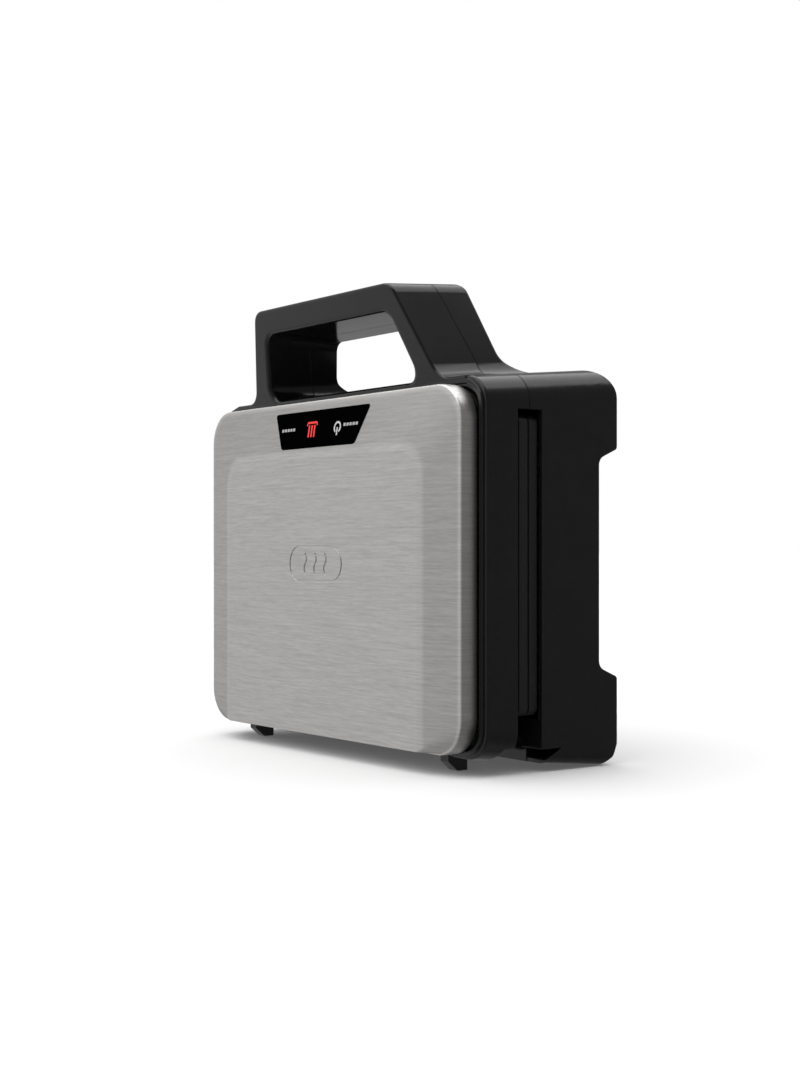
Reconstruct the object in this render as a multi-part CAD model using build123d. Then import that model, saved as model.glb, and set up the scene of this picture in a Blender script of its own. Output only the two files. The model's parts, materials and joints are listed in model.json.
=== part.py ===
"""Electric sandwich press, closed and standing on its hinge end.

+Z is up, +Y points to the feet that it cooks on, and the lid's steel cover faces -Y.
The origin is the centre of the standing footprint. All sizes are in millimetres.
"""
import os
from math import radians, sin, tan

from build123d import *

# ---- driving dimensions -------------------------------------------------------------
DEPTH = 100.0                     # plateau of the steel cover to the rubber feet
FRONT_Y = -DEPTH / 2
REAR_Y = DEPTH / 2
DRAFT = 0.098                     # how fast top and bottom spread, per mm of depth
SIDE_DRAFT = 0.03                 # how fast each side spreads, per mm of depth
REF_Y = -35.0                     # depth at which the next three sizes hold
HALF_WIDTH = 117.0
TOP_Z = 188.3
BOTTOM_Z = 7.35
CORNER_R = 15.0
BASE_BOTTOM_R = 5.0               # the base's two lower corners are tighter
WALL = 2.6

SEAM_Y = -7.7                     # the plane where lid and base meet
SEAM_GAP = 0.4

# lid moulding
RIM_Y = -35.5                     # front of the raised rim ring
STEP_Y = -33.8                    # front of the outer step beside it
DECK_Y = -33.0
DECK_T = 2.5
LID_EDGE_Y = -15.0                # rear edge of the lid walls beside the slot
SLOT_TOP_Z = 172.8
SHELF_T = 2.5
HINGE_WALL_Z = 25.0               # top of the two walls that carry the hinge lugs
RELIEF_X = 96.0                   # the lid's lower rear corners are cut away outside this
RELIEF_Y = -22.5
RELIEF_Z = 12.6
STUB_X = 86.0
STUB_T = 6.0

# base moulding
BASE_EDGE_Y = 0.0                 # front edge of the base walls beside the slot
BASE_FRONT_Y = 2.6                # front of the base's hinge wall
POCKET_WALL_X = 104.0             # the swing recess in each side wall starts here
RECESS_TOP_Z = 11.0
FLOOR_Y = 37.0                    # recessed floor between the feet
FOOT_Y = 49.0                     # plane of the four moulded feet
FOOT_X = 80.0                     # inner face of each moulded foot
RECESS_Z = (43.3, 156.0)          # foot edges seen from the side
RECESS_SLOPE = 5.2                # how much the foot flanks splay over the recess depth

# handle, sizes given in the plane Y = REF_Y
HANDLE_SLOPE = 0.09
HANDLE_TOP_Z = 237.8
HANDLE_TOP_X = 61.4
HANDLE_ROOT_X = 82.2
GRIP_TOP_Z = 223.5                # the opening's upper face is level
GRIP_ROOT_X = 67.2
GRIP_LEAN = 0.344                 # how fast the opening narrows upwards
HANDLE_FOOT_R = 12.0

# steel cover
COVER_HALF_W = 112.0
COVER_Z = (9.3, 184.3)
COVER_R = 18.0
COVER_RIM_Y = -45.0
COVER_SKIRT_Y = -35.4
PLATEAU_HALF_W = 85.4
PLATEAU_TOP_Z = 154.2
PLATEAU_R = 16.0
SHEET_T = 0.8
EMBLEM_W = 48.0
EMBLEM_H = 19.0
EMBLEM_Z = 98.8
EMBLEM_STROKE = 1.3
EMBLEM_DEPTH = 0.3

# cooking plates
PLATE_HALF_W = 116.0
PLATE_Z = (27.0, 170.2)
PLATE_R = 4.0
PLATE_T = 2.5
UPPER_RIM = (-12.8, -7.3)
LOWER_RIM = (-6.4, -1.2)
POCKET_W = 100.0
POCKET_H = 120.0
POCKET_X = 54.0
POCKET_DEPTH = 10.0
POCKET_SPLAY = 5.0
POCKET_R = 9.0
PLATE_MID_Z = sum(PLATE_Z) / 2

# hinge
HINGE_Y = -7.0
HINGE_Z = 13.0
LUG_R = 6.0
PIN_R = 2.5
PIN_CLEARANCE = 0.05
LUG_SPAN = (58.0, 64.0, 84.0, 90.0)   # lid lug, base lug between, lid lug
LUG_GAP = 0.4

SCREW_X = 105.2
SCREW_Z = (62.0, 134.0)
ELEMENT_R = 3.2


# ---- helpers ------------------------------------------------------------------------
def at_depth(y):
    """The plane Y = y, with local axes X and Z."""
    return Plane(origin=(0, y, 0), x_dir=(1, 0, 0), z_dir=(0, -1, 0))


def rounded_face(plane, corners):
    """Face through (u, v, r) corners, each rounded to its own radius."""
    points = [Vector(u, v) for u, v, _ in corners]
    stops = []
    for i, (u, v, r) in enumerate(corners):
        here = points[i]
        if r == 0:
            stops.append((here, None, here))
            continue
        back = (points[i - 1] - here).normalized()
        ahead = (points[(i + 1) % len(points)] - here).normalized()
        half = radians(back.get_angle(ahead) / 2)
        inward = (back + ahead).normalized()
        middle = here + inward * (r / sin(half) - r)
        reach = r / tan(half)
        stops.append((here + back * reach, middle, here + ahead * reach))
    edges = []
    for i, (start, middle, end) in enumerate(stops):
        if middle is not None:
            edges.append(Edge.make_three_point_arc(start, middle, end))
        following = stops[(i + 1) % len(stops)][0]
        if (following - end).length > 1e-6:
            edges.append(Edge.make_line(end, following))
    return plane.location * Face(Wire(edges))


def side_prism(corners, x0, x1):
    """A (y, z, r) outline extruded along X from x0 to x1."""
    plane = Plane(origin=(x0, 0, 0), x_dir=(0, 1, 0), z_dir=(1, 0, 0))
    return extrude(rounded_face(plane, corners), amount=x1 - x0, dir=(1, 0, 0))


def front_prism(corners, y0, y1):
    """An (x, z, r) outline extruded along Y from y0 to y1."""
    return extrude(rounded_face(at_depth(y0), corners), amount=y1 - y0, dir=(0, 1, 0))


def rectangle(half_w, z0, z1, r, x=0.0):
    """Corners of a rounded rectangle centred on X = x."""
    return [(x - half_w, z0, r), (x + half_w, z0, r), (x + half_w, z1, r), (x - half_w, z1, r)]


def block(x0, x1, y0, y1, z0, z1):
    """Box between two corners."""
    centre = ((x0 + x1) / 2, (y0 + y1) / 2, (z0 + z1) / 2)
    return Pos(*centre) * Box(x1 - x0, y1 - y0, z1 - z0)


def rod_x(r, x0, x1, y, z):
    """Cylinder along X."""
    return Pos((x0 + x1) / 2, y, z) * Rot(0, 90, 0) * Cylinder(r, x1 - x0)


def rod_y(r, y0, y1, x, z):
    """Cylinder along Y."""
    return Pos(x, (y0 + y1) / 2, z) * Rot(90, 0, 0) * Cylinder(r, y1 - y0)


def rod_z(r, z0, z1, x, y):
    """Cylinder along Z."""
    return Pos(x, y, (z0 + z1) / 2) * Cylinder(r, z1 - z0)


def both_sides(shape):
    """The shape and its mirror image across X = 0."""
    return shape + mirror(shape, about=Plane.YZ)


def top_z(y, inset=0.0):
    return TOP_Z + (y - REF_Y) * DRAFT - inset


def bottom_z(y, inset=0.0):
    return BOTTOM_Z - (y - REF_Y) * DRAFT + inset


def body_section(y, inset, bottom_r):
    half = HALF_WIDTH + (y - REF_Y) * SIDE_DRAFT - inset
    low, high = bottom_z(y, inset), top_z(y, inset)
    corners = [(-half, low, bottom_r - inset), (half, low, bottom_r - inset),
               (half, high, CORNER_R - inset), (-half, high, CORNER_R - inset)]
    return rounded_face(at_depth(y), corners)


def body_loft(y0, y1, inset=0.0, bottom_r=CORNER_R):
    """The drafted body form between two depths."""
    return loft([body_section(y0, inset, bottom_r), body_section(y1, inset, bottom_r)], ruled=True)


# ---- handle, one loop that lid and base share ------------------------------------------
def along_handle(corners):
    """An (x, z, r) outline, given at Y = REF_Y, extruded along the handle's slope."""
    reach = 110
    start = REF_Y - 25
    lift = (start - REF_Y) * HANDLE_SLOPE
    plane = Plane(origin=(0, start, lift), x_dir=(1, 0, 0), z_dir=(0, -1, 0))
    return extrude(rounded_face(plane, corners), amount=reach, dir=(0, 1, HANDLE_SLOPE))


def handle_cores():
    """Cored-out pockets in the bar and legs; they open at the seam of the two halves."""
    bar = [(-47, GRIP_TOP_Z + 4.6, 1), (47, GRIP_TOP_Z + 4.6, 1),
           (47, HANDLE_TOP_Z - WALL, 1), (-47, HANDLE_TOP_Z - WALL, 1)]
    leg = [(68.0, 192.5, 1), (76.4, 192.5, 1), (64.8, 222.0, 1), (57.8, 222.0, 1)]
    depth = side_prism([(-31.0, 188.3, 0), (-46.0, 239.0, 0), (-3.9, 241.0, 0), (3.8, 204.0, 0),
                        (3.8, 188.3, 0)], -104, 104)
    return (along_handle(bar) + both_sides(along_handle(leg))) & depth


def grip_section(y):
    """The hand opening at one depth: its foot follows the body, its upper face is level."""
    root_z = TOP_Z + 0.2 + (y - REF_Y) * HANDLE_SLOPE
    top_x = GRIP_ROOT_X - (GRIP_TOP_Z - root_z) * GRIP_LEAN
    corners = [(-GRIP_ROOT_X, root_z, 7.0), (GRIP_ROOT_X, root_z, 7.0),
               (top_x, GRIP_TOP_Z, 8.0), (-top_x, GRIP_TOP_Z, 8.0)]
    return rounded_face(at_depth(y), corners)


def face_towards(shape, sign):
    """Largest face that looks along -Y (sign -1) or +Y (sign +1)."""
    return shape.faces().filter_by(lambda f: f.normal_at().Y * sign > 0.9).sort_by(SortBy.AREA)[-1]


def soften_handle(loop):
    """Round the grip's front lip and the handle's outer edges, front and back."""
    loop = fillet(face_towards(loop, -1).inner_wires()[0].edges(), 2.5)
    above_root = [e for e in face_towards(loop, -1).edges()
                  if e.center().Z > 230 or abs(e.center().X) > 68 and e.center().Z > 200]
    loop = fillet(above_root, 1.2)
    flanks = [e for e in face_towards(loop, 1).edges()
              if abs(e.center().X) > 62 and e.center().Z > 203]
    return fillet(flanks, 2.0)


def handle_loop():
    root_z = TOP_Z + 0.2
    buried_z = TOP_Z - 1.6
    outline = [
        (-102, buried_z, 0), (102, buried_z, 0), (102, root_z, 0),
        (HANDLE_ROOT_X, root_z, HANDLE_FOOT_R), (HANDLE_TOP_X, HANDLE_TOP_Z, 8.5),
        (-HANDLE_TOP_X, HANDLE_TOP_Z, 8.5), (-HANDLE_ROOT_X, root_z, HANDLE_FOOT_R),
        (-102, root_z, 0),
    ]
    loop = along_handle(outline) - loft([grip_section(REF_Y - 25), grip_section(REF_Y + 85)], ruled=True)
    profile = [
        (-33.9, 185.5, 0), (-34.5, 188.3, 0), (-49.4, 238.1, 3.0), (-0.9, 241.6, 6.5),
        (8.8, 201.5, 9.0), (21.5, 194.05, 26.0), (32.0, 195.05, 0), (32.0, 191.0, 0),
        (16.5, 190.6, 0),
    ]
    loop &= side_prism(profile, -104, 104)
    return soften_handle(loop) - handle_cores()


def seam_region(side):
    """Everything in front of (side -1) or behind (side +1) the seam, less half the gap."""
    y = SEAM_Y + side * SEAM_GAP / 2
    far = side * 120
    return side_prism(
        [
            (far, -20, 0), (y, -20, 0), (y, 198.2, 6.0), (y - 17.2, 250, 0), (far, 250, 0),
        ],
        -130, 130,
    )


# ---- lid ------------------------------------------------------------------------------
def lid_inside():
    """The lid moulding's hollow, open towards the upper plate."""
    region = side_prism(
        [
            (DECK_Y + DECK_T, -5, 0), (LID_EDGE_Y - WALL, -5, 0),
            (LID_EDGE_Y - WALL, HINGE_WALL_Z, 0), (LID_EDGE_Y + 1, HINGE_WALL_Z, 0),
            (LID_EDGE_Y + 1, SLOT_TOP_Z + SHELF_T, 0), (SEAM_Y - WALL, SLOT_TOP_Z + SHELF_T, 0),
            (SEAM_Y - WALL, 200, 0), (DECK_Y + DECK_T, 200, 0),
        ],
        -130, 130,
    )
    return (body_loft(REF_Y, SEAM_Y, WALL) & region) - corner_relief(WALL)


def corner_relief(grow):
    """Space cut away at the lid's two lower rear corners, grown on every side."""
    corners = [(LID_EDGE_Y + 4, -5, 0), (LID_EDGE_Y + 4, RELIEF_Z + grow, 0),
               (RELIEF_Y + 1.7 - grow, RELIEF_Z + grow, 1.5), (RELIEF_Y - 2.0 - grow, 4, 0),
               (RELIEF_Y - 2.0 - grow, -5, 0)]
    return both_sides(side_prism(corners, RELIEF_X - grow, 130))


def standing_stub(x):
    """Block under the lid that the closed press stands on; its front slopes up."""
    corners = [(-33.8, 10, 0), (-33.8, 4.8, 0), (-28.2, 0, 1.2), (-22.0, 0, 0.6), (-22.0, 10, 0)]
    return side_prism(corners, x - STUB_T / 2, x + STUB_T / 2)


def hinge_lug(x0, x1, root_y):
    """Round-ended lug about the hinge axis, reaching to root_y."""
    y0, y1 = sorted((HINGE_Y, root_y))
    lug = block(x0, x1, y0, y1, HINGE_Z - LUG_R, HINGE_Z + LUG_R)
    return lug + rod_x(LUG_R, x0, x1, HINGE_Y, HINGE_Z)


def window_plane(lift=0.0):
    """Plane of the cover's sloping top band, lifted outwards."""
    slope = (COVER_RIM_Y - FRONT_Y) / (COVER_Z[1] - PLATEAU_TOP_Z)
    normal = Vector(0, -1, slope).normalized()
    base = Plane(origin=(0, COVER_RIM_Y, COVER_Z[1]), x_dir=(1, 0, 0), z_dir=normal)
    return base.offset(lift)


BOARD_Y = -29.4
BOARD_SCREW_Z = 178.6
WINDOW = [(-42.8, 5.7, 1.0), (42.8, 5.7, 1.0), (33.2, 25.2, 3.0), (-33.2, 25.2, 3.0)]


def window_prism(grow, front, back):
    """Window outline between two offsets from the band; v counts down the band."""
    corners = []
    for u, down, r in WINDOW:
        side = 1 if u > 0 else -1
        edge = grow if down > 15 else -grow
        corners.append((u + side * grow, -(down + edge), r + grow))
    face = rounded_face(window_plane(front), corners)
    return extrude(face, amount=front - back, dir=-window_plane().z_dir)


def lid_frame():
    frame = body_loft(STEP_Y, SEAM_Y - SEAM_GAP / 2)
    frame = fillet(frame.faces().sort_by(Axis.Y)[0].edges(), 1.4)
    ring = front_prism(rectangle(115.4, 9.2, 186.9, CORNER_R - 1.5), RIM_Y, STEP_Y + 1)
    frame += ring
    frame -= front_prism(rectangle(113.4, 8.6 + 2.6, 184.9, CORNER_R - 3.2), RIM_Y - 5, DECK_Y)
    frame -= front_prism(rectangle(113.4, 7.9, 184.9, CORNER_R - 3.2), RIM_Y - 5, RIM_Y + 0.6)
    locating = front_prism(rectangle(110.9, 10.4, 183.2, COVER_R - 1.1), COVER_RIM_Y + 4.5, DECK_Y)
    locating -= front_prism(rectangle(109.4, 11.9, 181.7, COVER_R - 2.6), COVER_RIM_Y + 4, DECK_Y)
    frame += locating
    frame += handle_loop() & seam_region(-1)
    keep = side_prism(
        [
            (-80, -20, 0), (LID_EDGE_Y, -20, 0), (LID_EDGE_Y, SLOT_TOP_Z, 0),
            (20, SLOT_TOP_Z, 0), (20, 260, 0), (-80, 260, 0),
        ],
        -130, 130,
    )
    frame &= keep
    frame -= lid_inside()
    # the lower rear corner is rounded so that it clears the base as the lid swings
    corner = [(LID_EDGE_Y + 4, -3, 0), (LID_EDGE_Y + 4, 13, 0), (LID_EDGE_Y, 13, 0),
              (LID_EDGE_Y - 0.7, 8.6, 3.0), (LID_EDGE_Y - 4.5, 5.0, 0), (LID_EDGE_Y - 4.5, -3, 0)]
    frame -= side_prism(corner, -130, 130)
    frame -= corner_relief(0)
    for x in (-STUB_X, STUB_X):
        frame += standing_stub(x) - body_loft(REF_Y, SEAM_Y, 1.0)
    lugs = hinge_lug(LUG_SPAN[0], LUG_SPAN[1], LID_EDGE_Y - 1)
    lugs += hinge_lug(LUG_SPAN[2], LUG_SPAN[3], LID_EDGE_Y - 1)
    frame += both_sides(lugs)
    frame -= both_sides(rod_x(PIN_R, LUG_SPAN[0] - 1, LUG_SPAN[3] + 1, HINGE_Y, HINGE_Z))
    for x in (-SCREW_X, SCREW_X):
        for z in SCREW_Z:
            frame += rod_y(4.6, DECK_Y + 1, -25.2, x, z)
            frame -= rod_y(1.9, DECK_Y - 2, -20, x, z)
            frame -= rod_y(3.8, COVER_RIM_Y, DECK_Y, x, z)
    # light wells behind the window and a lead hole
    frame -= block(-41.3, 41.3, DECK_Y - 1, DECK_Y + DECK_T + 1, 162.0, 175.5)
    for x in (-38, 38):
        frame += rod_y(2.6, DECK_Y + 1, BOARD_Y, x, BOARD_SCREW_Z)
        frame -= rod_y(0.9, DECK_Y + 1.2, BOARD_Y + 1, x, BOARD_SCREW_Z)
    return frame


def cover_outline(y, inset):
    corners = rectangle(COVER_HALF_W - inset, COVER_Z[0] + inset, COVER_Z[1] - inset, COVER_R - inset)
    return rounded_face(at_depth(y), corners)


def cover_form(inset):
    """Solid form of the steel cover, inset from its outside; its rim is rolled in three flats."""
    roll = [(1.0, 0.0), (0.35, 0.3), (0.0, 0.9)]
    rims = [cover_outline(COVER_RIM_Y + inset + back, inset + drawn_in) for back, drawn_in in roll]
    edge = inset + roll[-1][1]
    half = PLATEAU_HALF_W - inset / 2
    top = PLATEAU_TOP_Z - inset / 2
    plateau_corners = [(-half, COVER_Z[0] + edge, 1.0), (half, COVER_Z[0] + edge, 1.0),
                       (half, top, PLATEAU_R), (-half, top, PLATEAU_R)]
    plateau = rounded_face(at_depth(FRONT_Y + inset), plateau_corners)
    skirt = extrude(rims[0], amount=COVER_SKIRT_Y - COVER_RIM_Y - roll[0][0], dir=(0, 1, 0))
    for near, far in zip(rims, rims[1:] + [plateau]):
        skirt += loft([near, far], ruled=True)
    return skirt


def emblem():
    """Three rising steam strokes in an oval ring, pressed into the plateau."""
    floor = FRONT_Y + EMBLEM_DEPTH
    plane = at_depth(floor)
    ring = SlotOverall(EMBLEM_W, EMBLEM_H) - SlotOverall(EMBLEM_W - 2.2, EMBLEM_H - 2.2)
    strokes = []
    for x in (-9.0, 0.0, 9.0):
        lower = SlotArc(RadiusArc((x, -5.0), (x, 0.0), 3.6), EMBLEM_STROKE)
        upper = SlotArc(RadiusArc((x, 0.0), (x, 5.0), -3.6), EMBLEM_STROKE)
        strokes += [lower, upper]
    solid = None
    for face in [ring] + strokes:
        piece = extrude(plane.location * face.faces()[0], amount=EMBLEM_DEPTH + 1, dir=(0, -1, 0))
        solid = piece if solid is None else solid + piece
    return Pos(0, 0, EMBLEM_Z) * solid


def lid_cover():
    cover = cover_form(0) - cover_form(SHEET_T)
    return cover - window_prism(0.25, 3, -6) - emblem()


def indicator_window():
    return window_prism(0, 0.15, -2.0)


def light_box():
    """Black box behind the window, with one well for each lamp."""
    outer = front_prism([(-41, 162.3, 1), (41, 162.3, 1), (41, 175.2, 1), (-41, 175.2, 1)],
                        FRONT_Y, DECK_Y + DECK_T)
    below_window = extrude(
        rounded_face(window_plane(-2.2), [(-60, 10, 0), (60, 10, 0), (60, -60, 0), (-60, -60, 0)]),
        amount=40, dir=-window_plane().z_dir)
    outer &= below_window
    for x0, x1 in ((-38, -15), (-13, 2), (4, 10), (12, 22), (24, 38)):
        outer -= block(x0, x1, FRONT_Y - 2, DECK_Y + DECK_T + 1, 164.0, 173.5)
    return outer


def indicator_board():
    board = block(-42, 42, BOARD_Y, BOARD_Y + 1.6, 163.0, 181.4)
    for x in (-38, 38):
        board -= rod_y(1.2, BOARD_Y - 1, BOARD_Y + 3, x, BOARD_SCREW_Z)
    return board


def lamp(x):
    """Indicator lamp: a domed lens on a short cylinder."""
    body = rod_y(2.4, -35.0, BOARD_Y, x, 168.8)
    return body + (Pos(x, -35.0, 168.8) * Sphere(2.4))


# ---- cooking plates ---------------------------------------------------------------------
def pocket(sign, face_y, shrink):
    """Tapered pocket form; shrink 0 is the cavity, negative grows the casting around it."""
    def ring(depth):
        half_w = POCKET_W / 2 - POCKET_SPLAY * depth / POCKET_DEPTH - shrink
        half_h = POCKET_H / 2 - POCKET_SPLAY * depth / POCKET_DEPTH - shrink
        corners = rectangle(half_w, PLATE_MID_Z - half_h, PLATE_MID_Z + half_h, POCKET_R, POCKET_X)
        return rounded_face(at_depth(face_y + sign * depth), corners)
    deep = POCKET_DEPTH + (PLATE_T if shrink < 0 else 0)
    return loft([ring(0), ring(deep)], ruled=True)


def divider(sign, face_y):
    """Diagonal ridge that cuts and seals a filled slice, clipped to its pocket."""
    crest = face_y + sign * 1.0
    foot = face_y + sign * POCKET_DEPTH
    angle = 50.2
    section = [(-1.2, crest), (1.2, crest), (6.0, foot), (-6.0, foot)]
    plane = Plane(origin=(0, 0, -90), x_dir=(1, 0, 0), z_dir=(0, 0, 1))
    face = rounded_face(plane, [(x, y, 0) for x, y in section])
    ridge = extrude(face, amount=180, dir=(0, 0, 1))
    ridge = Rot(0, 90 - angle, 0) * ridge
    return Pos(POCKET_X, 0, PLATE_MID_Z) * ridge


def cooking_plate(sign, rim):
    """sign +1 is the lower plate, whose pockets sink towards +Y; -1 is the upper plate."""
    face_y, back_y = rim if sign > 0 else (rim[1], rim[0])
    y0, y1 = sorted((face_y, back_y))
    outline = rectangle(PLATE_HALF_W, PLATE_Z[0], PLATE_Z[1], PLATE_R)
    inner = rectangle(PLATE_HALF_W - 2, PLATE_Z[0] + 2, PLATE_Z[1] - 2, PLATE_R - 2)
    plate = front_prism(outline, y0, y1)
    hollow0, hollow1 = sorted((face_y + sign * PLATE_T, back_y + sign))
    plate -= front_prism(inner, hollow0, hollow1)
    plate += both_sides(pocket(sign, face_y, -PLATE_T))
    plate -= both_sides(pocket(sign, face_y, 0))
    plate += both_sides(divider(sign, face_y) & pocket(sign, face_y, 0))
    # shallow groove round both pockets that catches what runs out
    groove0, groove1 = sorted((face_y, face_y + sign * 0.8))
    groove = front_prism(rectangle(110, 31, 165.5, 9), groove0, groove1)
    groove -= front_prism(rectangle(108.2, 32.8, 163.7, 7.5), groove0, groove1)
    plate -= groove
    return plate


def plate_posts(plate, sign, face_y, tip_y):
    """Four cast posts on the back of a plate, each with a screw hole."""
    start = face_y + sign * 1.0
    for x in (-SCREW_X, SCREW_X):
        for z in SCREW_Z:
            y0, y1 = sorted((start, tip_y))
            hole0, hole1 = sorted((face_y + sign * 6.5, tip_y + sign))
            post = rod_y(3.8, y0, y1, x, z)
            post -= both_sides(pocket(sign, face_y, 0))
            plate += post
            plate -= rod_y(1.6, hole0, hole1, x, z)
    return plate


def screw(x, z, head_y, tip_y, head_r=3.2, shank_r=1.5):
    """Pan-head screw along Y from its head to its tip."""
    sign = 1 if tip_y > head_y else -1
    y0, y1 = sorted((head_y, head_y + sign * 2.0))
    head = rod_y(head_r, y0, y1, x, z)
    outer_edge = head.faces().sort_by(Axis.Y)[0 if sign > 0 else -1].edges()
    head = fillet(outer_edge, 0.8)
    slot0, slot1 = sorted((head_y - sign, head_y + sign * 0.9))
    head -= block(x - 2.0, x + 2.0, slot0, slot1, z - 0.45, z + 0.45)
    head -= block(x - 0.45, x + 0.45, slot0, slot1, z - 2.0, z + 2.0)
    s0, s1 = sorted((head_y + sign * 1.5, tip_y))
    return head + rod_y(shank_r, s0, s1, x, z)


def four_screws(head_y, tip_y):
    return [screw(x, z, head_y, tip_y) for x in (-SCREW_X, SCREW_X) for z in SCREW_Z]


# ---- heating ------------------------------------------------------------------------------
def heating_element(y):
    """Bent tubular element with two terminal pins."""
    low, high = PLATE_MID_Z - 38, PLATE_MID_Z + 38
    points = [(-14, low - 22), (-14, low), (-64, low), (-64, high), (64, high), (64, low),
              (14, low), (14, low - 22)]
    path = Wire(FilletPolyline(*[(x, y, z) for x, z in points], radius=11).edges())
    section = Plane(origin=path @ 0, z_dir=path % 0) * Circle(ELEMENT_R)
    tube = sweep(section, path=path)
    for x in (-14, 14):
        tube += rod_z(1.2, low - 30, low - 21, x, y)
    return tube


def element_clamps(y, sign):
    """Straps that press the element against the back of the plate."""
    low, high = PLATE_MID_Z - 38, PLATE_MID_Z + 38
    straps = []
    strap_t = 1.1
    foot0, foot1 = sorted((y - sign * ELEMENT_R, y - sign * (ELEMENT_R - strap_t)))
    for x, z in ((-38, high), (38, high), (-38, low), (38, low)):
        arch = rod_x(ELEMENT_R + 0.2 + strap_t, x - 4, x + 4, y, z)
        arch += block(x - 4, x + 4, foot0, foot1, z - 9, z + 9)
        arch -= rod_x(ELEMENT_R + 0.2, x - 5, x + 5, y, z)
        cut0, cut1 = sorted((y - sign * ELEMENT_R, y - sign * 12))
        arch -= block(x - 5, x + 5, cut0, cut1, z - 10, z + 10)
        straps.append(arch)
    return straps


def heat_shield(y, sign):
    """Bright pan behind the element; its lip turns towards the plate."""
    z0, z1 = PLATE_Z[0] + 8, PLATE_Z[1] - 8
    half = 99.5
    a0, a1 = sorted((y, y - sign * 5.0))
    pan = front_prism(rectangle(half, z0, z1, 10), a0, a1)
    b0, b1 = sorted((y - sign * 0.6, y - sign * 6.0))
    pan -= front_prism(rectangle(half - 0.6, z0 + 0.6, z1 - 0.6, 9.4), b0, b1)
    for x in (-14, 14):
        pan -= block(x - 4.2, x + 4.2, y - sign * 2 - 6, y - sign * 2 + 6, z0 - 1, z0 + 2)
    pan -= block(-9, 9, y - 8, y + 8, PLATE_MID_Z - 5, PLATE_MID_Z + 5)
    return pan


# ---- base -----------------------------------------------------------------------------------
def base_form(inset):
    """Outer form of the base, or its inside when inset; four corner feet stand on the floor."""
    form = body_loft(SEAM_Y, REAR_Y, inset, BASE_BOTTOM_R)
    floor = FLOOR_Y - inset
    core = [(-20, -10, 0), (-20, 260, 0), (floor - 24, 260, 0), (floor - 24, top_z(floor - 24, inset), 0),
            (floor, top_z(floor, inset), 10 - inset), (floor, bottom_z(floor, inset), 6 - inset),
            (floor - 12, bottom_z(floor - 12, inset), 0), (floor - 12, -10, 0)]
    foot = FOOT_Y - inset
    low, high = RECESS_Z
    crown = top_z(foot, inset)
    upper = [(floor - 8, high - 20, 0), (floor, high - 20, 0),
             (floor, high + inset - RECESS_SLOPE, 5.0 + inset),
             (foot, high + inset, 2.0), (foot, crown - 9.6, 17.5 - inset),
             (foot - 7.6, crown - 0.6, 10.5 - inset), (floor - 20, top_z(floor - 20, inset) + 1, 0)]
    lower = [(floor - 20, bottom_z(floor - 20, inset) - 1, 0), (40.2 - inset, inset, 1.5),
             (46.6 - inset / 2, 4.2 + inset, 6.0 - inset), (foot, 10.2 + inset / 2, 2.5),
             (foot, low - inset, 2.0), (floor, low - inset + RECESS_SLOPE, 5.0 + inset),
             (floor, low + 20, 0), (floor - 8, low + 20, 0)]
    feet_x = block(FOOT_X + inset, 130, 0, 60, -10, 260)
    feet = side_prism(upper, 60, 130) + side_prism(lower, 60, 130)
    feet = both_sides(feet & feet_x)
    return (form & side_prism(core, -130, 130)) + (form & feet)


WELL_X = 17.0
WELL_Z = 20.0
WELL_Y = 11.0


def swing_recess(grow):
    """Wedge cut into both side walls that the lid's lower corners swing through, grown on every side."""
    corners = [(SEAM_Y - 2, RECESS_TOP_Z + grow, 0), (13.1 + 2 * grow, RECESS_TOP_Z + grow, 0),
               (3.0 + grow, 5.6 - grow, 0), (3.0 + grow, -4, 0), (SEAM_Y - 2, -4, 0)]
    return both_sides(side_prism(corners, POCKET_WALL_X - grow, 130))


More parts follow.
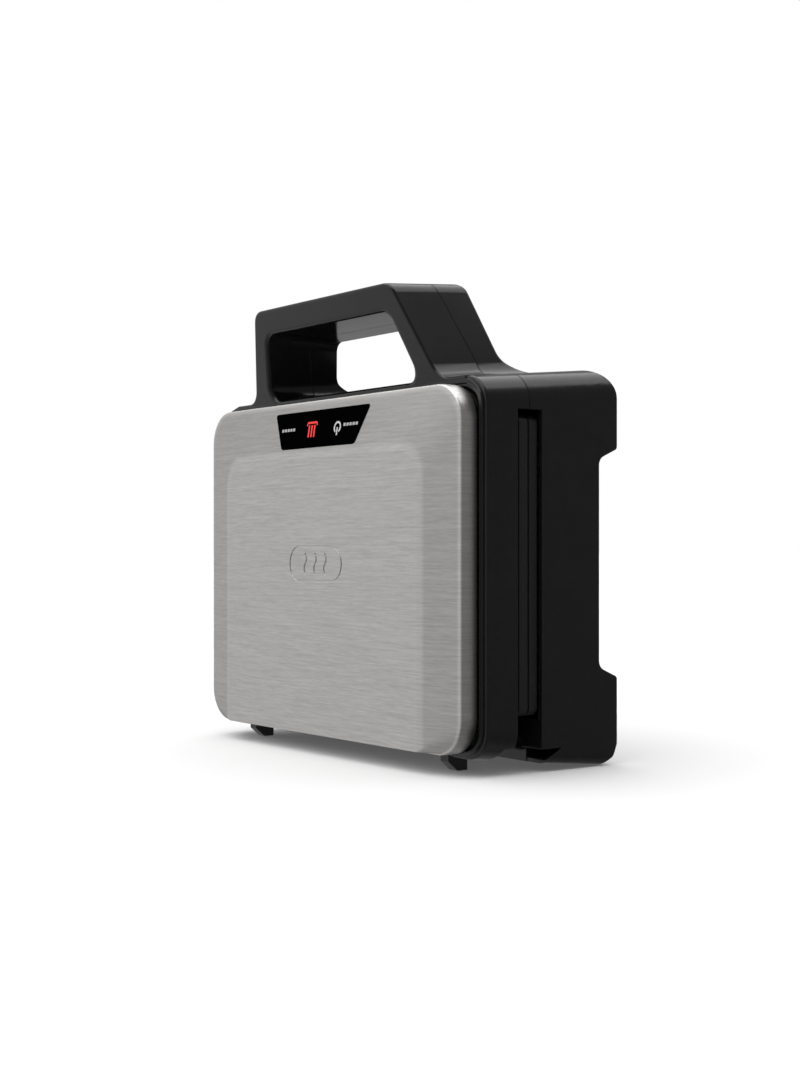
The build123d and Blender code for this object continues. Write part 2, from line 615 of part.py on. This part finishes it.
def base_shell():
    shell = base_form(0) & side_prism(
        [
            (BASE_EDGE_Y, -20, 0), (BASE_EDGE_Y, SLOT_TOP_Z, 0), (SEAM_Y + SEAM_GAP / 2, SLOT_TOP_Z, 0),
            (SEAM_Y + SEAM_GAP / 2, 260, 0), (80, 260, 0), (80, -20, 0),
        ],
        -130, 130,
    )
    shell -= block(-POCKET_WALL_X, POCKET_WALL_X, SEAM_Y, BASE_FRONT_Y, -10, HINGE_WALL_Z)
    shell += handle_loop() & seam_region(1)
    inside = base_form(WALL) & side_prism(
        [
            (BASE_FRONT_Y + WALL, -20, 0), (BASE_FRONT_Y + WALL, HINGE_WALL_Z, 0),
            (BASE_EDGE_Y - 1, HINGE_WALL_Z, 0), (BASE_EDGE_Y - 1, SLOT_TOP_Z + SHELF_T, 0),
            (SEAM_Y + WALL, SLOT_TOP_Z + SHELF_T, 0), (SEAM_Y + WALL, 260, 0), (80, 260, 0), (80, -20, 0),
        ],
        -130, 130,
    )
    well_block = block(-WELL_X - WALL, WELL_X + WALL, WELL_Y - WALL, 60, -5, WELL_Z + WALL)
    shell -= inside - well_block - swing_recess(WALL)
    shell -= block(-WELL_X, WELL_X, WELL_Y, 60, -5, WELL_Z)
    shell -= rod_z(6.2, WELL_Z - 1, WELL_Z + WALL + 1, 0, 22)
    shell -= swing_recess(0)
    shell += both_sides(hinge_lug(LUG_SPAN[1] + LUG_GAP, LUG_SPAN[2] - LUG_GAP, BASE_FRONT_Y + 1))
    shell -= both_sides(rod_x(PIN_R + PIN_CLEARANCE, LUG_SPAN[1] - 1, LUG_SPAN[2] + 1, HINGE_Y, HINGE_Z))
    for x in (-SCREW_X, SCREW_X):
        for z in SCREW_Z:
            shell += rod_y(5.2, 18.4, FLOOR_Y - 1, x, z)
            shell -= rod_y(1.9, 10, 60, x, z)
            shell -= rod_y(3.9, FLOOR_Y - 4.5, 60, x, z)
    for x in (-10.5, 10.5):
        shell -= rod_y(1.5, FLOOR_Y - WALL - 1, FLOOR_Y - 0.9, x, 36.0)
    for x0, x1, z0, z1 in foot_pads():
        shell -= block(x0, x1, FOOT_Y - 1.6, 60, z0, z1)
    return shell


def foot_pads():
    """X and Z spans of the four rubber pads."""
    spans = []
    for x0, x1 in ((-114.0, -84.0), (84.0, 114.0)):
        spans.append((x0, x1, 12.5, 39.5))
        spans.append((x0, x1, 160.0, 176.5))
    return spans


def rubber_feet():
    pads = []
    for x0, x1, z0, z1 in foot_pads():
        pad = block(x0 + 0.2, x1 - 0.2, FOOT_Y - 1.6, REAR_Y, z0 + 0.2, z1 - 0.2)
        pads.append(fillet(pad.faces().sort_by(Axis.Y)[-1].edges(), 0.7))
    return pads


def cord_bushing():
    """Grommet in the roof of the cord well, with a short sleeve inside the well."""
    z1 = WELL_Z + WALL
    body = rod_z(6.1, WELL_Z, z1, 0, 22) + rod_z(8.0, z1, z1 + 1.8, 0, 22)
    body += rod_z(7.6, WELL_Z - 2.2, WELL_Z, 0, 22)
    sleeve = Pos(0, 22, WELL_Z - 8.0) * Cone(4.8, 6.2, 12.0)
    body += sleeve
    return body - rod_z(3.4, 0, 40, 0, 22)


def cord_clamp():
    """Saddle that grips the mains lead inside the base."""
    saddle = block(-14, 14, 30.5, FLOOR_Y - WALL, 31, 41)
    saddle -= rod_z(3.6, 30, 42, 0, 29.4)
    for x in (-10.5, 10.5):
        saddle -= rod_y(1.6, 20, 40, x, 36.0)
    return saddle


def thermostat():
    """Snap-disc thermostat on the backs of both pockets."""
    y = LOWER_RIM[0] + POCKET_DEPTH + PLATE_T
    body = rod_y(10.5, y + 1.2, y + 8.5, 0, PLATE_MID_Z)
    body += block(-19, 19, y, y + 1.2, PLATE_MID_Z - 7, PLATE_MID_Z + 7)
    for x in (-6, 6):
        body += block(x - 0.4, x + 0.4, y + 8, y + 14.5, PLATE_MID_Z - 3, PLATE_MID_Z + 3)
    return body


def thermal_fuse():
    y = LOWER_RIM[0] + POCKET_DEPTH + PLATE_T + 2.2
    return rod_z(2.1, PLATE_MID_Z - 12, PLATE_MID_Z + 8, 34, y)


def terminal_block():
    """Two-way ceramic block on the floor."""
    body = block(24, 46, 24, FLOOR_Y - WALL, 30, 44)
    for x in (30, 40):
        body -= rod_z(2.0, 29, 45, x, 28)
        body -= rod_y(1.8, 20, 28, x, 37)
    return body


def wire(points, r=1.1):
    """Insulated lead through straight runs joined by arcs."""
    path = Wire(FilletPolyline(*points, radius=4.0).edges())
    section = Plane(origin=path @ 0, z_dir=path % 0) * Circle(r)
    return sweep(section, path=path)


def base_leads():
    """Leads from the cord clamp to the terminal block, and on to element and thermostat."""
    y = LOWER_RIM[0] + POCKET_DEPTH + PLATE_T + ELEMENT_R
    to_block = [(-1.6, 29.0, 44.0), (-1.6, 29.0, 56.0), (52.0, 29.0, 56.0), (52.0, 29.0, 37.0),
                (46.5, 29.0, 37.0)]
    to_element = [(14, y, 29.8), (14, y, 24.5), (14, 28.5, 24.5), (30, 28.5, 24.5), (30, 28.5, 29.6)]
    return [wire(to_block), wire(to_element)]


def board_screws():
    return [screw(x, BOARD_SCREW_Z, BOARD_Y + 3.6, BOARD_Y - 1.6, 2.2, 0.85) for x in (-38, 38)]


def cord_clamp_screws():
    return [screw(x, 36.0, 28.3, FLOOR_Y - WALL + 1.4, 2.6, 1.4) for x in (-10.5, 10.5)]


def hinge_pin(sign):
    x0, x1 = sorted((sign * LUG_SPAN[0], sign * LUG_SPAN[3]))
    return rod_x(PIN_R, x0, x1, HINGE_Y, HINGE_Z)


# ---- write every node -----------------------------------------------------------------------
os.makedirs("parts", exist_ok=True)


def save(name, shape):
    """Write one node; a list becomes a group of separate solids."""
    if isinstance(shape, list):
        shape = Compound(children=[piece for item in shape for piece in item.solids()])
    export_step(shape, f"parts/{name}.step")


POCKET_BACK_LOWER = LOWER_RIM[0] + POCKET_DEPTH + PLATE_T
POCKET_BACK_UPPER = UPPER_RIM[1] - POCKET_DEPTH - PLATE_T

save("lid_frame", lid_frame())
save("lid_cover", lid_cover())
save("indicator_window", indicator_window())
save("light_box", light_box())
save("indicator_board", indicator_board())
save("power_lamp", lamp(17.0))
save("heat_lamp", lamp(-5.5))
save("upper_cooking_plate", plate_posts(cooking_plate(-1, UPPER_RIM), -1, UPPER_RIM[1], -25.2))
save("upper_heating_element", heating_element(POCKET_BACK_UPPER - ELEMENT_R))
save("upper_element_clamps", element_clamps(POCKET_BACK_UPPER - ELEMENT_R, -1))
save("upper_heat_shield", heat_shield(-29.0, -1))
save("upper_plate_screws", four_screws(DECK_Y - 2.0, -16.5))
save("hinge_pins", [hinge_pin(-1), hinge_pin(1)])
save("base_shell", base_shell())
save("lower_cooking_plate", plate_posts(cooking_plate(1, LOWER_RIM), 1, LOWER_RIM[0], 18.4))
save("lower_heating_element", heating_element(POCKET_BACK_LOWER + ELEMENT_R))
save("lower_element_clamps", element_clamps(POCKET_BACK_LOWER + ELEMENT_R, 1))
save("lower_heat_shield", heat_shield(17.5, 1))
save("lower_plate_screws", four_screws(FLOOR_Y - 2.4, 6.5))
save("rubber_feet", rubber_feet())
save("cord_bushing", cord_bushing())
save("cord_clamp", cord_clamp())
save("thermostat", thermostat())
save("thermal_fuse", thermal_fuse())
save("terminal_block", terminal_block())
save("base_leads", base_leads())
save("board_screws", board_screws())
save("cord_clamp_screws", cord_clamp_screws())
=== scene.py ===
"""Looks of an electric sandwich press that stands upright on its hinge end."""
import json
import math

import bmesh
import bpy
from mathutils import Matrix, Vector


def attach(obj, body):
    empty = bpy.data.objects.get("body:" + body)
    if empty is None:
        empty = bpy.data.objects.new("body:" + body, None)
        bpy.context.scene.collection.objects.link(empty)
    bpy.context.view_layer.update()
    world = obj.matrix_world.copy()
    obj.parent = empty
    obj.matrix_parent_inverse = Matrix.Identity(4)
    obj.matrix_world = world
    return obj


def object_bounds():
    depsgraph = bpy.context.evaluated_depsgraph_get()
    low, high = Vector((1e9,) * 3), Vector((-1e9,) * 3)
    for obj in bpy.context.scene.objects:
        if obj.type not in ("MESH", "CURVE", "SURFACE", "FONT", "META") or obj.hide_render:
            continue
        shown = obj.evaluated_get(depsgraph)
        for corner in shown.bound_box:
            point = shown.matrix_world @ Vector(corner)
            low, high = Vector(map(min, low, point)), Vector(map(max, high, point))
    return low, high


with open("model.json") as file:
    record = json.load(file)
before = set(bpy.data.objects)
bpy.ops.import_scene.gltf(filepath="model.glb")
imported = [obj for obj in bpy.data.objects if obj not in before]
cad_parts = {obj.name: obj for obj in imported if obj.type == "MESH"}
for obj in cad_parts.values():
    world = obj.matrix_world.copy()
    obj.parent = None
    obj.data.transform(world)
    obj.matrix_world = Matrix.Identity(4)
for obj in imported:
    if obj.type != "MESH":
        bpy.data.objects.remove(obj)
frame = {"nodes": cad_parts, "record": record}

CAD_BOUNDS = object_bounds()
MM = 0.001
LOW, HIGH = (Vector(corner) for corner in CAD_BOUNDS)
CENTRE = (LOW + HIGH) / 2
# painted light and shade on the brushed cover over its first 10 mm of depth: plateau, margins darkened
# as painted shade of their slope, side wall lightened as painted light
COVER_DEPTH = 10 * MM
COVER_PAINTED_LIGHT_AND_SHADE = ((0.04, 0.80), (0.09, 0.655), (0.46, 0.655), (0.52, 1.0))
CAMERA_PLACE = (0.6553, -0.4975, 0.107)
CAMERA_TURN = 52.5                # degrees about Z, away from the cover's normal
CAMERA_LENS = 51.69               # mm on a sensor 36 mm wide
CAMERA_SHIFT_Y = 15 / 1066
FLOOR_RADIUS = 30.0
FLOOR_GAP = 0.0002                # the floor lies this far under the object


# ---- node helpers ---------------------------------------------------------------------
class Nodes:
    """A material's node tree with short ways to add and join nodes."""

    def __init__(self, tree):
        self.tree = tree

    def add(self, kind, **settings):
        node = self.tree.nodes.new("ShaderNode" + kind)
        for name, value in settings.items():
            if name in node.inputs:
                node.inputs[name].default_value = value
            else:
                setattr(node, name, value)
        return node

    def join(self, out, into):
        self.tree.links.new(out, into)

    def position(self, scale=(1, 1, 1)):
        """Object position, in metres at rest, stretched by scale."""
        mapping = self.add("Mapping", Scale=scale)
        self.join(self.add("TexCoord").outputs["Object"], mapping.inputs["Vector"])
        return mapping.outputs["Vector"]

    def noise(self, scale, detail=2.0, stretch=(1, 1, 1), roughness=0.5):
        """Noise of about scale features per metre."""
        node = self.add("TexNoise", Scale=scale, Detail=detail, Roughness=roughness)
        self.join(self.position(stretch), node.inputs["Vector"])
        return node.outputs["Fac"]

    def between(self, fac, low, high):
        """A value that runs from low to high as fac goes from 0.3 to 0.7."""
        node = self.add("MapRange")
        for name, value in (("From Min", 0.3), ("From Max", 0.7), ("To Min", low), ("To Max", high)):
            node.inputs[name].default_value = value
        self.join(fac, node.inputs["Value"])
        return node.outputs["Result"]

    def blend(self, fac, a, b):
        """A colour between a and b."""
        node = self.add("Mix", data_type="RGBA")
        self.join(fac, node.inputs["Factor"])
        node.inputs[6].default_value = (*a, 1)
        node.inputs[7].default_value = (*b, 1)
        return node.outputs[2]

    def bump(self, height, strength, distance, normal=None):
        node = self.add("Bump", Strength=strength, Distance=distance)
        self.join(height, node.inputs["Height"])
        if normal is not None:
            self.join(normal, node.inputs["Normal"])
        return node.outputs["Normal"]

    def soft_edge(self, radius):
        """Normal that rounds sharp edges by radius."""
        return self.add("Bevel", samples=4, Radius=radius).outputs["Normal"]


def material(name, color, roughness, metallic=0.0, **sockets):
    """A material with one Principled shader; returns it with its nodes and shader."""
    mat = bpy.data.materials.new(name)
    mat.use_nodes = True
    nodes = Nodes(mat.node_tree)
    shader = mat.node_tree.nodes["Principled BSDF"]
    shader.inputs["Base Color"].default_value = (*color, 1)
    shader.inputs["Roughness"].default_value = roughness
    shader.inputs["Metallic"].default_value = metallic
    for socket, value in sockets.items():
        shader.inputs[socket.replace("_", " ")].default_value = value
    return mat, nodes, shader


# ---- materials -------------------------------------------------------------------------
def black_plastic(name, color=(0.0048, 0.0048, 0.0050), rough=(0.13, 0.18), grain=0.02):
    """Moulded satin plastic: fine spark texture, faint flow marks, slightly uneven gloss."""
    mat, n, shader = material(name, color, 0.4, Specular_IOR_Level=0.36)
    drift = n.noise(38, detail=4)
    n.join(n.between(drift, *rough), shader.inputs["Roughness"])
    lighter = tuple(c * 1.35 for c in color)
    n.join(n.blend(n.between(n.noise(95, detail=5), 0, 1), color, lighter), shader.inputs["Base Color"])
    edge = n.soft_edge(0.45 * MM)
    spark = n.bump(n.noise(5200, detail=3, roughness=0.6), grain, 0.04 * MM, edge)
    n.join(n.bump(n.noise(60, detail=2), 0.02, 0.5 * MM, spark), shader.inputs["Normal"])
    return mat


def brushed_steel(name, color=(0.66, 0.645, 0.625), along=(60, 60, 2600)):
    """Stainless sheet brushed along X: short streaks in tone, gloss and height, with painted light and
    shade by depth.
    """
    mat, n, shader = material(name, color, 0.30, 1.0, Anisotropic=0.5)
    fine = n.noise(1.0, detail=5, stretch=(along[0] * 2.2, along[1] * 2.2, along[2]), roughness=0.62)
    wide = (along[0] * 0.6, along[1] * 0.6, along[2] * 0.42)
    broad = n.noise(1.0, detail=3, stretch=wide, roughness=0.6)
    mixed = n.add("Math", operation="MULTIPLY_ADD")
    n.join(broad, mixed.inputs[0])
    mixed.inputs[1].default_value = 0.45
    halved = n.add("Math", operation="MULTIPLY")
    n.join(fine, halved.inputs[0])
    halved.inputs[1].default_value = 0.55
    n.join(halved.outputs[0], mixed.inputs[2])
    streaks = mixed.outputs[0]
    dark = tuple(c * 0.80 for c in color)
    light = tuple(min(1.0, c * 1.16) for c in color)
    # painted light and shade by depth: the sloped margins darkened, the side wall lightened, multiplied
    # into the base colour
    depth = n.add("SeparateXYZ")
    n.join(n.position(), depth.inputs[0])
    tone = n.add("ValToRGB")
    ramp = tone.color_ramp
    for i, (place, level) in enumerate(COVER_PAINTED_LIGHT_AND_SHADE):
        stop = ramp.elements[i] if i < 2 else ramp.elements.new(place)
        stop.position = place
        stop.color = (level, level, level, 1)
    scaled = n.add("MapRange")
    scaled.inputs["From Min"].default_value = LOW.y
    scaled.inputs["From Max"].default_value = LOW.y + COVER_DEPTH
    n.join(depth.outputs["Y"], scaled.inputs["Value"])
    n.join(scaled.outputs["Result"], tone.inputs["Fac"])
    shade = n.add("Mix", data_type="RGBA", blend_type="MULTIPLY")
    shade.inputs["Factor"].default_value = 1.0
    n.join(n.blend(n.between(streaks, 0, 1), dark, light), shade.inputs[6])
    n.join(tone.outputs["Color"], shade.inputs[7])
    n.join(shade.outputs[2], shader.inputs["Base Color"])
    n.join(n.between(streaks, 0.42, 0.30), shader.inputs["Roughness"])
    edge = n.soft_edge(0.25 * MM)
    n.join(n.bump(streaks, 0.10, 0.03 * MM, edge), shader.inputs["Normal"])
    tangent = n.add("Tangent", direction_type="RADIAL", axis="Z")
    n.join(tangent.outputs[0], shader.inputs["Tangent"])
    return mat


def gloss_black(name):
    """Tinted window: near black with almost no reflection and a trace of orange peel."""
    mat, n, shader = material(name, (0.0008, 0.0008, 0.0009), 0.07, Specular_IOR_Level=0.0)
    n.join(n.between(n.noise(120, detail=3), 0.05, 0.10), shader.inputs["Roughness"])
    peel = n.bump(n.noise(260, detail=2), 0.03, 0.05 * MM, n.soft_edge(0.3 * MM))
    n.join(peel, shader.inputs["Normal"])
    return mat


def nonstick(name):
    """Sprayed non-stick coating: dark, fine orange peel and pale flecks."""
    mat, n, shader = material(name, (0.012, 0.012, 0.013), 0.36, 0.0, Specular_IOR_Level=0.3)
    flecks = n.add("TexVoronoi", Scale=1500.0, feature="F1")
    n.join(n.position(), flecks.inputs["Vector"])
    ramp = n.add("MapRange")
    for socket, value in (("From Min", 0.10), ("From Max", 0.16), ("To Min", 1.0), ("To Max", 0.0)):
        ramp.inputs[socket].default_value = value
    n.join(flecks.outputs["Distance"], ramp.inputs["Value"])
    speckled = n.blend(ramp.outputs["Result"], (0.009, 0.009, 0.010), (0.050, 0.049, 0.047))
    n.join(speckled, shader.inputs["Base Color"])
    n.join(n.between(n.noise(70, detail=4), 0.30, 0.44), shader.inputs["Roughness"])
    peel = n.bump(n.noise(900, detail=2), 0.10, 0.10 * MM, n.soft_edge(0.8 * MM))
    n.join(peel, shader.inputs["Normal"])
    return mat


def worn_metal(name, color, rough, tint, metallic=1.0):
    """Bare or plated metal with drifting tone and faint drawing marks."""
    mat, n, shader = material(name, color, sum(rough) / 2, metallic)
    n.join(n.blend(n.between(n.noise(55, detail=5), 0, 1), color, tint), shader.inputs["Base Color"])
    n.join(n.between(n.noise(240, detail=4), *rough), shader.inputs["Roughness"])
    marks = n.bump(n.noise(1400, detail=3), 0.06, 0.05 * MM, n.soft_edge(0.2 * MM))
    n.join(marks, shader.inputs["Normal"])
    return mat


def matt_solid(name, color, shade, rough, scale, depth):
    """Rubber, ceramic, laminate and sleeves: fine grain in colour, gloss and height."""
    mat, n, shader = material(name, color, sum(rough) / 2)
    grain = n.noise(scale, detail=5)
    n.join(n.blend(n.between(grain, 0, 1), color, shade), shader.inputs["Base Color"])
    n.join(n.between(n.noise(scale / 9, detail=3), *rough), shader.inputs["Roughness"])
    n.join(n.bump(grain, 0.15, depth, n.soft_edge(0.3 * MM)), shader.inputs["Normal"])
    return mat


def lit_print(name, color, strength):
    """Slightly uneven print on the window; strength is how much it glows."""
    mat, n, shader = material(name, color, 0.35)
    dim = tuple(c * 0.82 for c in color)
    glow = n.blend(n.between(n.noise(420, detail=2), 0, 1), color, dim)
    n.join(glow, shader.inputs["Base Color"])
    n.join(glow, shader.inputs["Emission Color"])
    shader.inputs["Emission Strength"].default_value = strength
    return mat


def make_materials():
    """One finish for each material slot of the record."""
    return {
        "black_shell": black_plastic("satin_shell"),
        "brushed_cover": brushed_steel("brushed_cover"),
        "black_gloss": gloss_black("window_gloss"),
        "nonstick_plate": nonstick("nonstick_coating"),
        "element_steel": worn_metal("element_sheath", (0.20, 0.19, 0.18), (0.35, 0.5),
                                    (0.26, 0.21, 0.16)),
        "zinc_steel": worn_metal("zinc_plate", (0.55, 0.55, 0.56), (0.25, 0.4), (0.48, 0.49, 0.47)),
        "pin_steel": worn_metal("drawn_pin", (0.62, 0.62, 0.63), (0.15, 0.3), (0.56, 0.56, 0.57)),
        "shield_aluminium": worn_metal("shield_sheet", (0.72, 0.72, 0.73), (0.25, 0.4),
                                       (0.66, 0.65, 0.63)),
        "ceramic_body": matt_solid("steatite", (0.62, 0.58, 0.50), (0.55, 0.51, 0.44),
                                   (0.6, 0.75), 900, 0.1 * MM),
        "fuse_glass_sleeve": matt_solid("woven_sleeve", (0.66, 0.62, 0.54), (0.5, 0.47, 0.4),
                                        (0.7, 0.85), 2600, 0.3 * MM),
        "clamp_plastic": black_plastic("inner_plastic", (0.02, 0.02, 0.02), (0.5, 0.62)),
        "black_rubber": matt_solid("foot_rubber", (0.014, 0.014, 0.014), (0.022, 0.022, 0.021),
                                   (0.62, 0.8), 1800, 0.15 * MM),
        "board_laminate": matt_solid("phenolic_board", (0.30, 0.19, 0.07), (0.24, 0.15, 0.05),
                                     (0.45, 0.6), 700, 0.05 * MM),
        "lamp_clear": matt_solid("clear_lamp", (0.75, 0.75, 0.72), (0.7, 0.7, 0.66),
                                 (0.08, 0.15), 300, 0.02 * MM),
        "lamp_red": matt_solid("red_lamp", (0.55, 0.02, 0.015), (0.48, 0.015, 0.01),
                               (0.08, 0.15), 300, 0.02 * MM),
        "lead_insulation": matt_solid("silicone_lead", (0.42, 0.03, 0.02), (0.36, 0.02, 0.015),
                                      (0.4, 0.55), 500, 0.05 * MM),
    }


# ---- printed symbols ---------------------------------------------------------------------
# the window lies in the cover's sloping top band: its normal, its upward direction and a point on it
WINDOW_NORMAL = Vector((0.0, -0.98648, 0.16386))
WINDOW_UP = Vector((0.0, 0.16386, 0.98648))
WINDOW_ORIGIN = Vector((0.0, -45.0, 184.3)) * MM
INK_LIFT = (0.10 * MM, 0.24 * MM)      # underside and top of the ink above that plane
LABEL_HEIGHT = 169.6
DASH_LENGTH = 1.9
DASH_STEP = 2.6
RING_CENTRE = (16.8, 168.6)


def arc(x, z, radius, start, stop, steps=28):
    """Points on an arc, angles in degrees from +X towards up."""
    points = []
    for i in range(steps + 1):
        angle = math.radians(start + (stop - start) * i / steps)
        points.append((x + radius * math.cos(angle), z + radius * math.sin(angle)))
    return points


def side_offsets(path):
    """Unit vector across the path at each of its points."""
    across = []
    for i in range(len(path)):
        before = Vector(path[max(i - 1, 0)])
        after = Vector(path[min(i + 1, len(path) - 1)])
        along = (after - before).normalized()
        across.append(Vector((-along.y, along.x)))
    return across


def add_stroke(bm, path, width):
    """A raised ribbon in the window's plane; path is (x, height) in mm of the CAD frame."""
    rings = []
    for point, across in zip(path, side_offsets(path)):
        ring = []
        for side, lift in ((-1, 0), (1, 0), (1, 1), (-1, 1)):
            flat = Vector(point) + across * side * width / 2
            up = (flat.y * MM - WINDOW_ORIGIN.z) / WINDOW_UP.z
            place = Vector((flat.x * MM, WINDOW_ORIGIN.y, WINDOW_ORIGIN.z)) + WINDOW_UP * up
            ring.append(bm.verts.new(place + WINDOW_NORMAL * INK_LIFT[lift]))
        rings.append(ring)
    for ring, following in zip(rings, rings[1:]):
        for i in range(4):
            j = (i + 1) % 4
            bm.faces.new((ring[i], ring[j], following[j], following[i]))
    bm.faces.new(rings[0])
    bm.faces.new(reversed(rings[-1]))


def print_symbol(name, strokes, mat):
    """One printed symbol on the indicator window, made of strokes of (path, width)."""
    bm = bmesh.new()
    for path, width in strokes:
        add_stroke(bm, path, width)
    bmesh.ops.recalc_face_normals(bm, faces=bm.faces)
    mesh = bpy.data.meshes.new(name)
    bm.to_mesh(mesh)
    bm.free()
    mesh.materials.append(mat)
    symbol = bpy.data.objects.new(name, mesh)
    bpy.context.collection.objects.link(symbol)
    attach(symbol, "lid")


def label_dashes(start):
    """Five plain dashes in a row, from start towards +X."""
    places = [start + DASH_STEP * i for i in range(5)]
    return [([(x, LABEL_HEIGHT), (x + DASH_LENGTH, LABEL_HEIGHT)], 1.5) for x in places]


def build_symbols():
    """Power and heat symbols with plain dashes where each one's label would be."""
    white = lit_print("white_ink", (0.62, 0.62, 0.60), 0.0)
    grey = lit_print("grey_ink", (0.42, 0.42, 0.42), 0.0)
    red = lit_print("red_ink", (0.70, 0.014, 0.012), 0.35)
    # the symbols are upside down here: they read the right way up with the press on its feet
    ring = arc(*RING_CENTRE, 2.6, -58, 238)
    stem = [(RING_CENTRE[0], 164.5), RING_CENTRE]
    print_symbol("power_symbol", [(ring, 0.95), (stem, 0.95)], white)
    lid_bar = [(-11.0, 170.9), (-10.4, 172.4), (-2.4, 172.4), (-1.8, 170.9)]
    bars = [([(x, 164.8), (x, 171.1)], 1.25) for x in (-8.9, -6.4, -3.9)]
    print_symbol("heat_symbol", [(lid_bar, 1.1)] + bars, red)
    print_symbol("power_label", label_dashes(22.0), grey)
    print_symbol("heat_label", label_dashes(-34.6), grey)


def dress_frame(mats):
    """Give every CAD node the finish of its slot."""
    slots = {part["node"]: part["material_slot"] for part in frame["record"]["subparts"]}
    for node, obj in frame["nodes"].items():
        obj.data.materials.clear()
        obj.data.materials.append(mats[slots[node]])


# ---- camera, floor and light ------------------------------------------------------------
def build_camera():
    """Level camera at the front right, turned away from the cover's normal."""
    data = bpy.data.cameras.new("camera")
    data.lens = CAMERA_LENS
    data.sensor_width = 36.0
    data.shift_y = CAMERA_SHIFT_Y
    data.clip_start = 0.01
    data.clip_end = 100.0
    camera = bpy.data.objects.new("camera", data)
    camera.location = CAMERA_PLACE
    camera.rotation_euler = (math.radians(90), 0, math.radians(CAMERA_TURN))
    bpy.context.collection.objects.link(camera)
    bpy.context.scene.camera = camera


def build_floor():
    """Wide pale floor under the object."""
    bm = bmesh.new()
    bmesh.ops.create_circle(bm, cap_ends=True, segments=96, radius=FLOOR_RADIUS)
    mesh = bpy.data.meshes.new("floor")
    bm.to_mesh(mesh)
    bm.free()
    floor = bpy.data.objects.new("floor", mesh)
    floor.location = (0, 0, LOW.z - FLOOR_GAP)
    bpy.context.collection.objects.link(floor)
    mat, _, shader = material("pale_floor", (0.86, 0.86, 0.86), 0.75)
    shader.inputs["Emission Color"].default_value = (1, 1, 1, 1)
    shader.inputs["Emission Strength"].default_value = 0.08
    shader.inputs["Specular IOR Level"].default_value = 0.2
    mesh.materials.append(mat)
    floor.visible_glossy = False


def build_world():
    """Studio dome: bright overhead and to the front left, dim to the right; the camera sees white."""
    world = bpy.data.worlds.new("studio")
    bpy.context.scene.world = world
    world.use_nodes = True
    tree = world.node_tree
    n = Nodes(tree)
    background = tree.nodes["Background"]
    split = n.add("SeparateXYZ")
    n.join(n.add("TexCoord").outputs["Generated"], split.inputs[0])

    def ramp(out, low, high, to_low, to_high):
        node = n.add("MapRange", interpolation_type="SMOOTHSTEP")
        limits = (("From Min", low), ("From Max", high), ("To Min", to_low), ("To Max", to_high))
        for name, value in limits:
            node.inputs[name].default_value = value
        n.join(out, node.inputs["Value"])
        return node.outputs["Result"]

    def math_node(operation, a, b):
        node = n.add("Math", operation=operation)
        for i, value in enumerate((a, b)):
            if isinstance(value, float):
                node.inputs[i].default_value = value
            else:
                n.join(value, node.inputs[i])
        return node.outputs[0]

    sideways = ramp(split.outputs["X"], -0.4, 0.75, 0.81, 0.21)
    behind = ramp(split.outputs["Y"], -0.05, 0.30, 1.0, 0.45)
    on_right = ramp(split.outputs["X"], -0.1, 0.4, 0.0, 1.0)
    sideways = math_node("MULTIPLY", sideways, math_node("MAXIMUM", behind, on_right))
    above = ramp(split.outputs["Z"], 0.61, 0.66, 0.0, 1.6)
    above = math_node("MULTIPLY", above, ramp(split.outputs["X"], 0.30, 0.44, 1.0, 0.05))
    below = ramp(split.outputs["Z"], -0.50, 0.0, 0.70, 1.0)
    level = math_node("MULTIPLY", math_node("ADD", sideways, above), below)
    seen = n.add("LightPath").outputs["Is Camera Ray"]
    keep = math_node("SUBTRACT", 1.0, seen)
    strength = math_node("ADD", math_node("MULTIPLY", level, keep), seen)
    n.join(strength, background.inputs["Strength"])
    background.inputs["Color"].default_value = (1, 1, 1, 1)


def build_lights():
    """One broad softbox from the front left."""
    data = bpy.data.lights.new("front_softbox", "AREA")
    data.shape = "RECTANGLE"
    data.size = 1.1
    data.size_y = 0.9
    data.energy = 2.0
    light = bpy.data.objects.new("front_softbox", data)
    light.location = (-0.5, -1.4, 1.1)
    aim = (CENTRE - light.location).to_track_quat("-Z", "Y")
    light.rotation_euler = aim.to_euler()
    bpy.context.collection.objects.link(light)


# ---- build ---------------------------------------------------------------------------------
MATS = make_materials()
dress_frame(MATS)
build_symbols()
build_camera()
build_floor()
build_world()
build_lights()
bpy.context.scene.view_settings.view_transform = "Standard"
